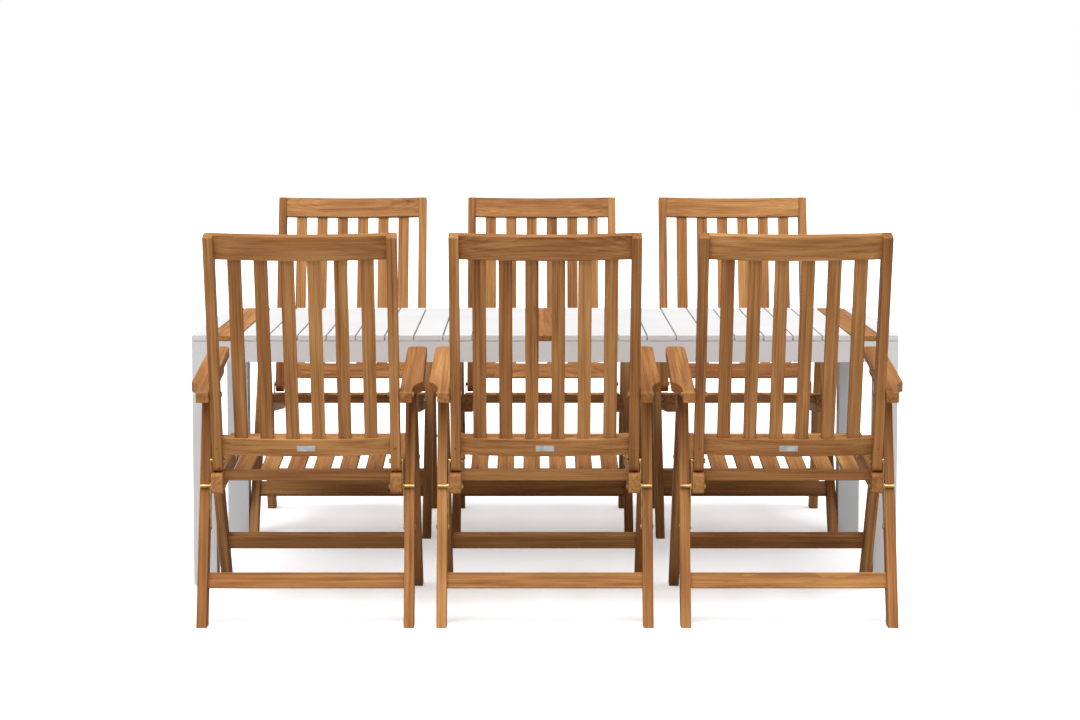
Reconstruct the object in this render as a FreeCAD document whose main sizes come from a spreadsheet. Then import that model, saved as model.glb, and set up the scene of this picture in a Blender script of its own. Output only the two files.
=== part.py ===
"""Patio dining set: a slatted aluminium table and six folding teak armchairs.

Each chair is modelled once in its own frame (X across, Y forward from the
rear foot's back edge, Z up from the floor) and placed six times.
"""
import FreeCAD, Part
import Sketcher
import math
import os

from FreeCAD import Placement, Rotation, Vector

DOC = FreeCAD.newDocument("patio_dining_set")

# ---------------------------------------------------------------- sizes (mm, degrees)
SIZES = {
    # table
    "table_long": 2050,
    "table_wide": 900,
    "table_high": 740,
    "slat_count": 23,
    "slat_thick": 15,
    "slat_gap": 4.5,
    "border_wide": 50,
    "reveal_high": 1.5,
    "apron_high": 61,
    "apron_thick": 22,
    "table_leg_side": 68,
    "foot_side": 46,
    "foot_high": 8,
    "bearer_wide": 40,
    "bearer_high": 25,
    "slat_wall": 1.6,
    "frame_wall": 2.2,
    "metal_round": 1.5,
    "screw_radius": 2.2,
    "screw_head_radius": 4,
    "screw_head_high": 2.4,
    "border_screw_inset": 13,
    # chair: widths are measured from the chair's middle plane
    "wood_round": 2.5,
    "slat_round": 1.8,
    "stile_inner": 229,
    "stile_outer": 256,
    "rail_inner": 228,
    "rail_outer": 259.5,
    "plate_gap": 0.6,
    "plate_thick": 2.5,
    "leg_thick": 28,
    "leg_deep": 48,
    # chair: legs
    "rear_lean": 15.8,
    "front_lean": 30,
    "foot_spread": 574,
    "apex_high": 592,
    "rear_top_high": 593,
    "front_top_high": 636,
    "rest_pin_under": 12,
    "rest_pin_back": 12,
    "ear_radius": 20,
    "ear_clear": 1.5,
    "ear_split": 0.3,
    "link_pin_high": 260,
    "hinge_pin_high": 372.4,
    "stop_clear": 0.5,
    "seat_pivot_back": 8,
    "rear_stretcher_high": 119.5,
    "rear_stretcher_deep": 42,
    "front_stretcher_high": 146,
    "front_stretcher_deep": 46,
    "stretcher_thick": 22,
    # chair: seat
    "seat_slope": 6,
    "seat_pivot_slope": 9.5,
    "seat_rail_deep": 56,
    "seat_rail_above": 38.9,
    "seat_rail_tail": 22,
    "seat_rail_long": 452,
    "seat_end_round": 9,
    "seat_cross_thick": 22,
    "seat_cross_deep": 27,
    "seat_cross_inset": 12,
    "seat_slat_wide": 47,
    "seat_slat_thick": 12,
    "seat_slat_drop": 2,
    "seat_slats": 6,
    # chair: back
    "hinge_rise": 69,
    "back_lean": 15.3,
    "stile_deep": 45,
    "stile_tail": 26.5,
    "stile_long": 652,
    "stile_end_round": 21,
    "top_rail_high": 68,
    "low_rail_high": 50,
    "low_rail_up": 20.5,
    "back_rail_thick": 24,
    "back_sag": 14,
    "back_slat_wide": 36,
    "back_slat_thick": 12,
    "back_slats": 6,
    # chair: arms
    "arm_slope": 8.5,
    "arm_pivot_up": 196.6,
    "arm_thick": 29,
    "arm_gap": 0.8,
    "arm_wide": 59.5,
    "arm_front_taper": 4,
    "arm_tail": 37,
    "arm_long": 462,
    "arm_tail_wide": 34,
    "arm_tail_straight": 12,
    "arm_cut_long": 66,
    "arm_front_round": 14,
    "arm_end_round": 3.5,
    "rack_wide": 8.3,
    "rack_inset": 0.4,
    "rack_start": 165,
    "rack_end": 325,
    "rack_clear": 1.5,
    "notch_count": 5,
    "notch_pitch": 26.5,
    "notch_radius": 5,
    # chair: brass hardware
    "bolt_radius": 4,
    "pin_radius": 4.75,
    "hole_clear": 0.08,
    "plate_wide": 18,
    "link_wide": 16,
    "head_radius": 7,
    "head_high": 3,
    "nut_radius": 7,
    "nut_high": 4.5,
    "rivet_high": 1.6,
    # where the chairs stand
    "chair_leg_clear": 3.5,
    "near_left_shift": 7,
    "middle_shift": -3,
    "near_gap": 42,
    "far_gap": 10,
}

sheet = DOC.addObject("Spreadsheet::Sheet", "sizes")
for row, (name, value) in enumerate(SIZES.items(), start=1):
    sheet.set("A%d" % row, name)
    sheet.set("B%d" % row, str(value))
    sheet.setAlias("B%d" % row, name)
DOC.recompute()


def size(name):
    """Value of one cell of the sheet."""
    return float(sheet.get(name))


def sin(angle):
    return math.sin(math.radians(angle))


def cos(angle):
    return math.cos(math.radians(angle))


def tan(angle):
    return math.tan(math.radians(angle))


# ---------------------------------------------------------------- construction helpers
def bound(obj, **formulas):
    """Bind properties of an object to cells; a bare word is a cell's alias."""
    for prop, formula in formulas.items():
        obj.setExpression(prop, formula)
    return obj


def box(name, length, width, height, placement):
    """Box whose three sides are formulas over the sheet."""
    obj = DOC.addObject("Part::Box", name)
    bound(obj, Length=length, Width=width, Height=height)
    obj.Placement = placement
    return obj


def tube(name, length, width, height, placement, wall):
    """Closed hollow bar with the same wall all round."""
    outer = box(name, length, width, height, placement)
    thinner = " - 2 * sizes." + wall
    inset = Placement(Vector(size(wall), size(wall), size(wall)), Rotation())
    inner = box(name + "_hollow", length + thinner, width + thinner, height + thinner,
                placement.multiply(inset))
    return outer, inner


def across(name, radius, length, x, y, z):
    """Cylinder lying along +X from the point given."""
    obj = DOC.addObject("Part::Cylinder", name)
    bound(obj, Radius=radius, Height=length)
    obj.Placement = Placement(Vector(x, y, z), Rotation(Vector(0, 1, 0), 90))
    return obj


def upright(name, radius, height, x, y, z):
    """Cylinder standing along +Z on the point given."""
    obj = DOC.addObject("Part::Cylinder", name)
    bound(obj, Radius=radius, Height=height)
    obj.Placement = Placement(Vector(x, y, z), Rotation())
    return obj


def cut(base, *tools):
    """Base with every tool taken away; each cut has to remove something."""
    for tool in tools:
        obj = DOC.addObject("Part::Cut", base.Name + "_cut")
        obj.Base = base
        obj.Tool = tool
        DOC.recompute()
        if obj.Shape.Volume > base.Shape.Volume - 0.01:
            raise RuntimeError("%s takes nothing from %s" % (tool.Name, base.Name))
        base = obj
    return base


def fuse(name, *pieces):
    obj = DOC.addObject("Part::MultiFuse", name)
    obj.Shapes = list(pieces)
    obj.Refine = True
    return obj


def common(name, base, tool):
    obj = DOC.addObject("Part::Common", name)
    obj.Base = base
    obj.Tool = tool
    return obj


def rounded(base, radius, chosen):
    """Base with the chosen edges rounded."""
    DOC.recompute()
    edges = [(i, radius, radius) for i, e in enumerate(base.Shape.Edges, start=1) if chosen(e)]
    obj = DOC.addObject("Part::Fillet", base.Name + "_round")
    obj.Base = base
    obj.Edges = edges
    return obj


def runs_along(direction):
    """Test for straight edges parallel to a direction."""
    def test(edge):
        if not isinstance(edge.Curve, Part.Line):
            return False
        return abs(abs(edge.Curve.Direction.dot(direction)) - 1) < 1e-6
    return test


def at_end(direction, level):
    """Test for straight cross edges (along X) that lie at a level along a direction."""
    def test(edge):
        if not runs_along(Vector(1, 0, 0))(edge):
            return False
        return abs(edge.CenterOfMass.dot(direction) - level) < 0.01
    return test


def on_sides(edge):
    """Edges of the two faces that look along X."""
    return edge.BoundBox.XLength < 1e-4


def mirrored(obj):
    """The same piece on the chair's other side."""
    twin = DOC.addObject("Part::Mirroring", obj.Name + "_left")
    twin.Source = obj
    twin.Normal = Vector(1, 0, 0)
    return twin


def both(obj):
    return [obj, mirrored(obj)]


def node(name, pieces, placement=Placement()):
    """Group of separate solids that becomes one named sub-part."""
    obj = DOC.addObject("Part::Compound", name)
    obj.Links = pieces
    obj.Placement = placement
    obj.Label = name
    return obj


def turned(y, z, angle):
    """Frame at a point of the side view, turned about X."""
    return Placement(Vector(0, y, z), Rotation(Vector(1, 0, 0), angle))


# ---------------------------------------------------------------- pivots of the chair (side view: y, z)
REAR, FRONT = size("rear_lean"), size("front_lean")
DEEP = size("leg_deep")


def rear_leg_line(z):
    """Middle line of the rear leg at a height."""
    return z * tan(REAR) + DEEP / 2 / cos(REAR)


def front_leg_line(z):
    """Middle line of the front leg at a height."""
    return size("foot_spread") - z * tan(FRONT) + DEEP / 2 / cos(FRONT)


def apex():
    """Pivot between the two legs, midway between their facing edges."""
    z = size("apex_high")
    gap_back = rear_leg_line(z) + DEEP / 2 / cos(REAR)
    gap_front = front_leg_line(z) - DEEP / 2 / cos(FRONT)
    return (gap_back + gap_front) / 2, z


def hinge_pin():
    """Pin of the seat's rear end, which stops against the rear leg's back edge."""
    z = size("hinge_pin_high")
    y = z * tan(REAR) - size("pin_radius") / cos(REAR) - size("stop_clear")
    return y, z


def seat_pivot():
    """Where the seat's pivot line crosses the front leg, a little behind its middle."""
    slope = tan(size("seat_pivot_slope"))
    y0, z0 = hinge_pin()
    top = front_leg_line(0) - size("seat_pivot_back")
    y = (top - tan(FRONT) * (z0 - slope * y0)) / (1 + tan(FRONT) * slope)
    return y, z0 + slope * (y - y0)


def back_pivot():
    """Upper bolt of the hinge plate, in the lower end of the back's stile."""
    y, z = hinge_pin()
    return y, z + size("hinge_rise")


def arm_pivot():
    """Bolt through the arm's tail and the back's stile."""
    y, z = back_pivot()
    up, lean = size("arm_pivot_up"), size("back_lean")
    return y - up * sin(lean), z + up * cos(lean)


def rest_pin():
    """Pin near the front leg's top, on which a notch of the arm's rack comes down."""
    z = size("front_top_high") - size("rest_pin_under")
    return front_leg_line(z) - size("rest_pin_back"), z


APEX = apex()
HINGE = hinge_pin()
SEAT_PIVOT = seat_pivot()
BACK_PIVOT = back_pivot()
ARM_PIVOT = arm_pivot()
LINK_PIN = (rear_leg_line(size("link_pin_high")), size("link_pin_high"))
REST_PIN = rest_pin()

RAIL_OUTER = size("rail_outer")
PLATE_IN = RAIL_OUTER + size("plate_gap")
LINK_IN = PLATE_IN + size("plate_thick") + size("plate_gap")
LEG_IN = LINK_IN + size("plate_thick") + size("plate_gap")
LEG_OUT = LEG_IN + size("leg_thick")
LEG_MID = (LEG_IN + LEG_OUT) / 2
HOLE = "bolt_radius + sizes.hole_clear"


def cell(formula):
    """Formula with its leading alias looked up in the sheet."""
    return "sizes." + formula


# ---------------------------------------------------------------- legs
def leg(name, foot_line, lean, top):
    """Leg of one side, cut level at the floor and square or round at its top."""
    foot = foot_line(0)
    long = top / cos(lean) + DEEP
    frame = turned(foot, 0, lean)
    start = frame.multiply(Placement(Vector(LEG_IN, -DEEP / 2, -DEEP), Rotation()))
    obj = box(name, cell("leg_thick"), cell("leg_deep"), "%.4f" % long, start)
    return obj, frame


def ground():
    """Everything under the floor."""
    reach = 2 * size("foot_spread")
    deep = 3 * DEEP
    obj = DOC.addObject("Part::Box", "ground")
    obj.Length, obj.Width, obj.Height = 2 * reach, 2 * reach, deep
    obj.Placement = Placement(Vector(-reach, -reach / 2, -deep), Rotation())
    return obj


def hole(name, point, radius, x, length):
    return across(name, cell(radius), length, x, point[0], point[1])


def rear_legs():
    """Rear legs with their halved ears and the stretcher between them."""
    obj, frame = leg("rear_leg", rear_leg_line, -REAR, size("rear_top_high"))
    obj = rounded(obj, size("wood_round"), on_sides)
    half = "sizes.leg_thick / 2 - sizes.ear_split / 2"
    ear = hole("rear_ear", APEX, "ear_radius", LEG_IN, half)
    room = hole("rear_ear_room", APEX, "ear_radius + sizes.ear_clear", LEG_MID - size("ear_split") / 2,
                "sizes.leg_thick")
    obj = cut(obj, ground(), room)
    obj = fuse("rear_leg_eared", obj, ear)
    obj = cut(obj, hole("rear_apex_hole", APEX, HOLE, LEG_IN - 5, "sizes.leg_thick + 10"))
    height = size("rear_stretcher_high")
    start = turned(rear_leg_line(height), height, -REAR)
    rail = stretcher("rear_stretcher", "rear_stretcher_deep", start)
    return node("rear_legs", both(obj) + [rail])


def stretcher(name, deep, frame):
    """Rail between two legs, centred on the frame given."""
    shift = Vector(-LEG_IN, -size("stretcher_thick") / 2, -size(deep) / 2)
    obj = box(name, "%.4f" % (2 * LEG_IN), cell("stretcher_thick"), cell(deep),
              frame.multiply(Placement(shift, Rotation())))
    return rounded(obj, size("slat_round"), runs_along(Vector(1, 0, 0)))


def front_legs():
    """Front legs, which carry the seat pivots and the arm rest pins, and their stretcher."""
    end_round = DEEP / 2 - 1
    top = size("front_top_high") - end_round * (1 - cos(FRONT))
    obj, frame = leg("front_leg", front_leg_line, FRONT, top)
    axis = frame.Rotation.multVec(Vector(0, 0, 1))
    end = frame.Base.dot(axis) + top / cos(FRONT)
    obj = rounded(obj, end_round, at_end(axis, end))
    obj = rounded(obj, size("wood_round"), on_sides)
    half = "sizes.leg_thick / 2 - sizes.ear_split / 2"
    ear = hole("front_ear", APEX, "ear_radius", LEG_MID + size("ear_split") / 2, half)
    room = hole("front_ear_room", APEX, "ear_radius + sizes.ear_clear",
                LEG_MID + size("ear_split") / 2 - size("leg_thick"), "sizes.leg_thick")
    obj = cut(obj, ground(), room)
    obj = fuse("front_leg_eared", obj, ear)
    through = "sizes.leg_thick + 10"
    obj = cut(obj, hole("front_apex_hole", APEX, HOLE, LEG_IN - 5, through),
              hole("front_seat_hole", SEAT_PIVOT, HOLE, LEG_IN - 5, through),
              hole("front_rest_hole", REST_PIN, "pin_radius + sizes.hole_clear", LEG_IN - 5, through))
    height = size("front_stretcher_high")
    rail = stretcher("front_stretcher", "front_stretcher_deep",
                     turned(front_leg_line(height), height, FRONT))
    return node("front_legs", both(obj) + [rail])


# ---------------------------------------------------------------- brass hardware
def head(name, x, y, z, radius="head_radius", high="head_high"):
    """Low domed head on the outer side of a leg, arm or rail."""
    obj = across(name, cell(radius), cell(high), x, y, z)
    edge_x = x + size(high)
    return rounded(obj, size(high) * 0.85, lambda e: abs(e.CenterOfMass.x - edge_x) < 0.01
                   and e.BoundBox.XLength < 1e-4)


def nut(name, x, y, z, shank):
    """Hexagon nut that ends at x, round a shank."""
    obj = DOC.addObject("Part::Prism", name)
    obj.Polygon = 6
    bound(obj, Circumradius="sizes.nut_radius", Height="sizes.nut_high")
    obj.Placement = Placement(Vector(x - size("nut_high"), y, z), Rotation(Vector(0, 1, 0), 90))
    bore = across(name + "_bore", cell(shank), "sizes.nut_high + 10", x - size("nut_high") - 5, y, z)
    return cut(obj, bore)


def bolt(name, point, x_in, x_out, radius="bolt_radius"):
    """Bolt from its nut at x_in to its domed head, which sits on x_out."""
    y, z = point
    start = x_in - size("nut_high")
    shank = across(name + "_shank", cell(radius), "%.4f" % (x_out - start), start, y, z)
    top = head(name + "_head", x_out, y, z)
    return [fuse(name, shank, top), nut(name + "_nut", x_in, y, z, radius)]


def leg_bolts():
    """Apex bolts, seat pivot bolts and arm rest pins, all carried by the front legs."""
    pieces = []
    pieces += bolt("apex_bolt", APEX, LEG_IN - size("plate_gap"), LEG_OUT)
    pieces += bolt("seat_bolt", SEAT_PIVOT, size("rail_inner") - size("plate_gap"), LEG_OUT)
    start = size("stile_outer") + 3
    y, z = REST_PIN
    pin = across("rest_pin_shank", "sizes.pin_radius", "%.4f" % (LEG_OUT - start), start, y, z)
    pieces.append(fuse("rest_pin", pin, head("rest_pin_head", LEG_OUT, y, z)))
    return node("leg_bolts", [side for piece in pieces for side in both(piece)])


def strap(name, start, end, wide, x):
    """Flat bar with round ends, from one pivot to another."""
    y, z = start
    long = math.hypot(end[0] - y, end[1] - z)
    angle = math.degrees(math.atan2(end[1] - z, end[0] - y))
    half = size(wide) / 2
    frame = turned(y, z, angle).multiply(Placement(Vector(x, 0, -half), Rotation()))
    bar = box(name + "_bar", cell("plate_thick"), "%.4f" % long, cell(wide), frame)
    ends = [across(name + "_end", cell(wide) + " / 2", cell("plate_thick"), x, p[0], p[1])
            for p in (start, end)]
    return fuse(name, bar, *ends)


def fold_links():
    """Straps from the seat's hinge pin down to the rear legs."""
    bar = strap("fold_link", HINGE, LINK_PIN, "link_wide", LINK_IN)
    eye = across("fold_link_eye", "sizes.pin_radius + sizes.hole_clear", "sizes.plate_thick + 10",
                 LINK_IN - 5, *HINGE)
    rivet = across("link_rivet", "sizes.head_radius", "sizes.rivet_high",
                   LINK_IN - size("rivet_high"), *LINK_PIN)
    return node("fold_links", both(fuse("fold_link_riveted", cut(bar, eye), rivet)))


def back_hinges():
    """Hinge plates that carry the back, each with its long stop pin and its upper bolt."""
    plate = strap("hinge_plate", HINGE, BACK_PIVOT, "plate_wide", PLATE_IN)
    low = size("rail_inner") - size("plate_gap")
    high = size("stile_inner") - size("plate_gap")
    pin_start = low - size("nut_high")
    bolt_start = high - size("nut_high")
    pin = across("stop_pin", "sizes.pin_radius", "%.4f" % (LEG_OUT - 2 - pin_start), pin_start, *HINGE)
    top = across("back_bolt", "sizes.bolt_radius",
                 "%.4f" % (PLATE_IN + size("plate_thick") - bolt_start), bolt_start, *BACK_PIVOT)
    spacer_start = size("stile_outer") + size("arm_gap")
    spacer = across("back_spacer", "sizes.head_radius", "%.4f" % (PLATE_IN - spacer_start),
                    spacer_start, *BACK_PIVOT)
    pieces = [fuse("hinge_plate_pinned", plate, pin, top, spacer)]
    pieces.append(nut("stop_pin_nut", low, HINGE[0], HINGE[1], "pin_radius"))
    pieces.append(nut("back_bolt_nut", high, BACK_PIVOT[0], BACK_PIVOT[1], "bolt_radius"))
    return node("back_hinges", [side for piece in pieces for side in both(piece)])


def arm_bolts():
    """Bolts on which the arms turn."""
    outer = size("stile_outer") + size("arm_gap") + size("arm_tail_wide") + size("plate_gap")
    pieces = bolt("arm_bolt", ARM_PIVOT, size("stile_inner") - size("plate_gap"), outer)
    return node("arm_bolts", [side for piece in pieces for side in both(piece)])


# ---------------------------------------------------------------- seat (frame: origin on the hinge pin)
def local(frame, point):
    """A side-view point in the coordinates of a turned frame."""
    return frame.inverse().multVec(Vector(0, point[0], point[1]))


def seat():
    """Side rails, cross rails and the front-to-back slats."""
    frame = turned(HINGE[0], HINGE[1], size("seat_slope"))
    above, deep = size("seat_rail_above"), size("seat_rail_deep")
    tail, long = size("seat_rail_tail"), size("seat_rail_long")
    rail = box("seat_rail", "sizes.rail_outer - sizes.rail_inner",
               "sizes.seat_rail_long + sizes.seat_rail_tail", cell("seat_rail_deep"),
               Placement(Vector(size("rail_inner"), -tail, above - deep), Rotation()))
    forward = Vector(0, 1, 0)
    rail = rounded(rail, size("seat_end_round"), at_end(forward, -tail))
    rail = rounded(rail, size("seat_end_round"), at_end(forward, long))
    rail = rounded(rail, size("wood_round"), on_sides)
    reach = "sizes.rail_outer - sizes.rail_inner + 10"
    start = size("rail_inner") - 5
    pivot = local(frame, SEAT_PIVOT)
    rail = cut(rail, across("seat_hinge_hole", "sizes.pin_radius + sizes.hole_clear", reach, start, 0, 0),
               across("seat_pivot_hole", cell(HOLE), reach, start, pivot.y, pivot.z))
    pieces = both(rail)
    inset, thick = size("seat_cross_inset"), size("seat_cross_thick")
    front = long - inset - thick
    inner = size("rail_inner")
    for name, y in (("seat_rear_rail", inset), ("seat_front_rail", front)):
        cross = box(name, "2 * sizes.rail_inner", cell("seat_cross_thick"), cell("seat_cross_deep"),
                    Placement(Vector(-inner, y, above - size("seat_cross_deep")), Rotation()))
        pieces.append(rounded(cross, size("slat_round"), runs_along(Vector(1, 0, 0))))
    top = above - size("seat_slat_drop")
    under = top - size("seat_slat_thick")
    count = int(size("seat_slats"))
    wide = size("seat_slat_wide")
    gap = (2 * inner - count * wide) / (count + 1)
    for i in range(count):
        x = -inner + gap + i * (wide + gap)
        slat = box("seat_slat_%d" % (i + 1), cell("seat_slat_wide"), "%.4f" % (front - inset - thick),
                   cell("seat_slat_thick"), Placement(Vector(x, inset + thick, under), Rotation()))
        pieces.append(rounded(slat, size("slat_round"), runs_along(Vector(0, 1, 0))))
    return node("seat", pieces, frame)


# ---------------------------------------------------------------- back (frame: origin on its pivot, Z up the stile)
def dished(name, low, high, thick, front_at_side):
    """Rail between the stiles, curved to the rear at its middle."""
    half = size("stile_inner")
    sag = size("back_sag")
    radius = (half * half + sag * sag) / (2 * sag)
    face = front_at_side - sag + radius
    outer = upright(name + "_outer", "%.4f" % (radius + thick), "%.4f" % (high - low), 0, face, low)
    inner = upright(name + "_inner", "%.4f" % radius, "%.4f" % (high - low + 10), 0, face, low - 5)
    ring = cut(outer, inner)
    span = DOC.addObject("Part::Box", name + "_span")
    span.Length, span.Width, span.Height = 2 * half, 3 * (sag + thick), high - low
    span.Placement = Placement(Vector(-half, front_at_side - 2 * (sag + thick), low), Rotation())
    return common(name, ring, span), radius, face


def back():
    """Stiles, dished top and lower rails, and the upright slats between them."""
    frame = turned(BACK_PIVOT[0], BACK_PIVOT[1], size("back_lean"))
    tail, long, deep = size("stile_tail"), size("stile_long"), size("stile_deep")
    inner = size("stile_inner")
    stile = box("stile", "sizes.stile_outer - sizes.stile_inner", cell("stile_deep"),
                "sizes.stile_long + sizes.stile_tail",
                Placement(Vector(inner, -deep / 2, -tail), Rotation()))
    end_round = min(size("stile_end_round"), deep / 2 - 1)
    stile = rounded(stile, end_round, at_end(Vector(0, 0, 1), -tail))
    stile = rounded(stile, size("wood_round") * 2, at_end(Vector(0, 0, 1), long))
    stile = rounded(stile, size("wood_round"), on_sides)
    reach = "sizes.stile_outer - sizes.stile_inner + 10"
    arm = local(frame, ARM_PIVOT)
    stile = cut(stile, across("stile_hinge_hole", cell(HOLE), reach, inner - 5, 0, 0),
                across("stile_arm_hole", cell(HOLE), reach, inner - 5, arm.y, arm.z))
    pieces = both(stile)
    thick = size("back_rail_thick")
    front = thick / 2 + size("back_sag") / 2
    low_up = size("low_rail_up")
    low_top = low_up + size("low_rail_high")
    top_under = long - size("top_rail_high")
    rail, radius, centre = dished("back_low_rail", low_up, low_top, thick, front)
    pieces.append(rail)
    rail, radius, centre = dished("back_top_rail", top_under, long, thick, front)
    pieces.append(rail)
    count = int(size("back_slats"))
    wide, slat = size("back_slat_wide"), size("back_slat_thick")
    gap = (2 * inner - count * wide) / (count + 1)
    for i in range(count):
        x = -inner + gap + i * (wide + gap) + wide / 2
        lean = math.degrees(math.asin(x / (radius + thick / 2)))
        middle = Placement(Vector(0, centre, 0), Rotation(Vector(0, 0, 1), lean))
        start = middle.multiply(Placement(Vector(-wide / 2, -radius - thick / 2 - slat / 2, low_top),
                                          Rotation()))
        board = box("back_slat_%d" % (i + 1), cell("back_slat_wide"), cell("back_slat_thick"),
                    "%.4f" % (top_under - low_top), start)
        pieces.append(rounded(board, size("slat_round"), runs_along(Vector(0, 0, 1))))
    return node("back", pieces, frame)


# ---------------------------------------------------------------- arms (frame: origin on the arm pivot, Y along the arm)
def arms():
    """Boards with a hollow cut in the tail, and the notched rack under each."""
    frame = turned(ARM_PIVOT[0], ARM_PIVOT[1], size("arm_slope"))
    inner = size("stile_outer") + size("arm_gap")
    wide, thick = size("arm_wide"), size("arm_thick")
    tail, long = size("arm_tail"), size("arm_long")
    body = DOC.addObject("PartDesign::Body", "arm_board")
    plane = [f for f in body.Origin.OriginFeatures if f.Role == "XY_Plane"][0]
    outline = body.newObject("Sketcher::SketchObject", "arm_outline")
    outline.AttachmentSupport = (plane, [""])
    outline.MapMode = "FlatFace"
    corners = [("0 - sizes.arm_tail", inner), ("0 - sizes.arm_tail", inner + wide),
               (None, inner + wide), (cell("arm_long"), inner + wide - size("arm_front_taper")),
               (cell("arm_long"), inner)]
    widest = size("arm_tail_straight") + size("arm_cut_long")
    points = [Vector(x, {0: -tail, 1: -tail, 2: widest, 3: long, 4: long}[i], 0)
              for i, (_, x) in enumerate(corners)]
    lines = [Part.LineSegment(a, b) for a, b in zip(points, points[1:] + points[:1])]
    outline.addGeometry(lines, False)
    count = len(lines)
    for i in range(count):
        outline.addConstraint(Sketcher.Constraint("Coincident", i, 2, (i + 1) % count, 1))
    rises = ["0 - sizes.arm_tail", "0 - sizes.arm_tail", "sizes.arm_tail_straight + sizes.arm_cut_long",
             cell("arm_long"), cell("arm_long")]
    near = "sizes.stile_outer + sizes.arm_gap"
    reaches = [near, near + " + sizes.arm_wide", near + " + sizes.arm_wide",
               near + " + sizes.arm_wide - sizes.arm_front_taper", near]
    for i in range(count):
        for kind, value, formula in (("DistanceX", points[i].x, reaches[i]),
                                     ("DistanceY", points[i].y, rises[i])):
            index = outline.addConstraint(Sketcher.Constraint(kind, -1, 1, i, 1, value))
            outline.setExpression("Constraints[%d]" % index, formula)
    pad = body.newObject("PartDesign::Pad", "arm_pad")
    pad.Profile = outline
    pad.Midplane = True
    bound(pad, Length="sizes.arm_thick")
    body.Tip = pad
    DOC.recompute()
    straight = size("arm_tail_straight")
    tail_wide, cut_long = size("arm_tail_wide"), size("arm_cut_long")
    rise = wide - tail_wide
    radius = (rise * rise + cut_long * cut_long) / (2 * rise)
    x = inner + tail_wide
    slab = DOC.addObject("Part::Box", "arm_tail_room")
    slab.Length, slab.Width, slab.Height = wide, tail + straight + 10, 2 * thick
    slab.Placement = Placement(Vector(x, -tail - 10, -thick), Rotation())
    sweep = upright("arm_hollow", "%.4f" % radius, "2 * sizes.arm_thick", x + radius, straight, -thick)
    board = cut(body, slab, sweep)
    board = rounded(board, size("arm_front_round"), lambda e: runs_along(Vector(0, 0, 1))(e)
                    and abs(e.CenterOfMass.y - long) < 0.01)
    board = rounded(board, size("arm_end_round"), lambda e: runs_along(Vector(0, 0, 1))(e)
                    and abs(e.CenterOfMass.y + tail) < 0.01)
    board = rounded(board, size("wood_round"), lambda e: e.BoundBox.ZLength < 1e-4)
    bore = across("arm_bore", cell(HOLE), "sizes.arm_tail_wide + 10", inner - 5, 0, 0)
    board = cut(board, bore)
    pin = local(frame, REST_PIN)
    teeth = pin.z + size("pin_radius") + size("rack_clear")
    under = -thick / 2
    rack = box("arm_rack", cell("rack_wide"), "sizes.rack_end - sizes.rack_start", "%.4f" % (under - teeth),
               Placement(Vector(inner + size("rack_inset"), size("rack_start"), teeth), Rotation()))
    notches = [across("notch_%d" % (i + 1), "sizes.notch_radius", "sizes.rack_wide + 10", inner - 4,
                      pin.y + i * size("notch_pitch"), teeth) for i in range(int(size("notch_count")))]
    rack = cut(rack, *notches)
    return node("arms", both(board) + both(rack), frame)


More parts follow.
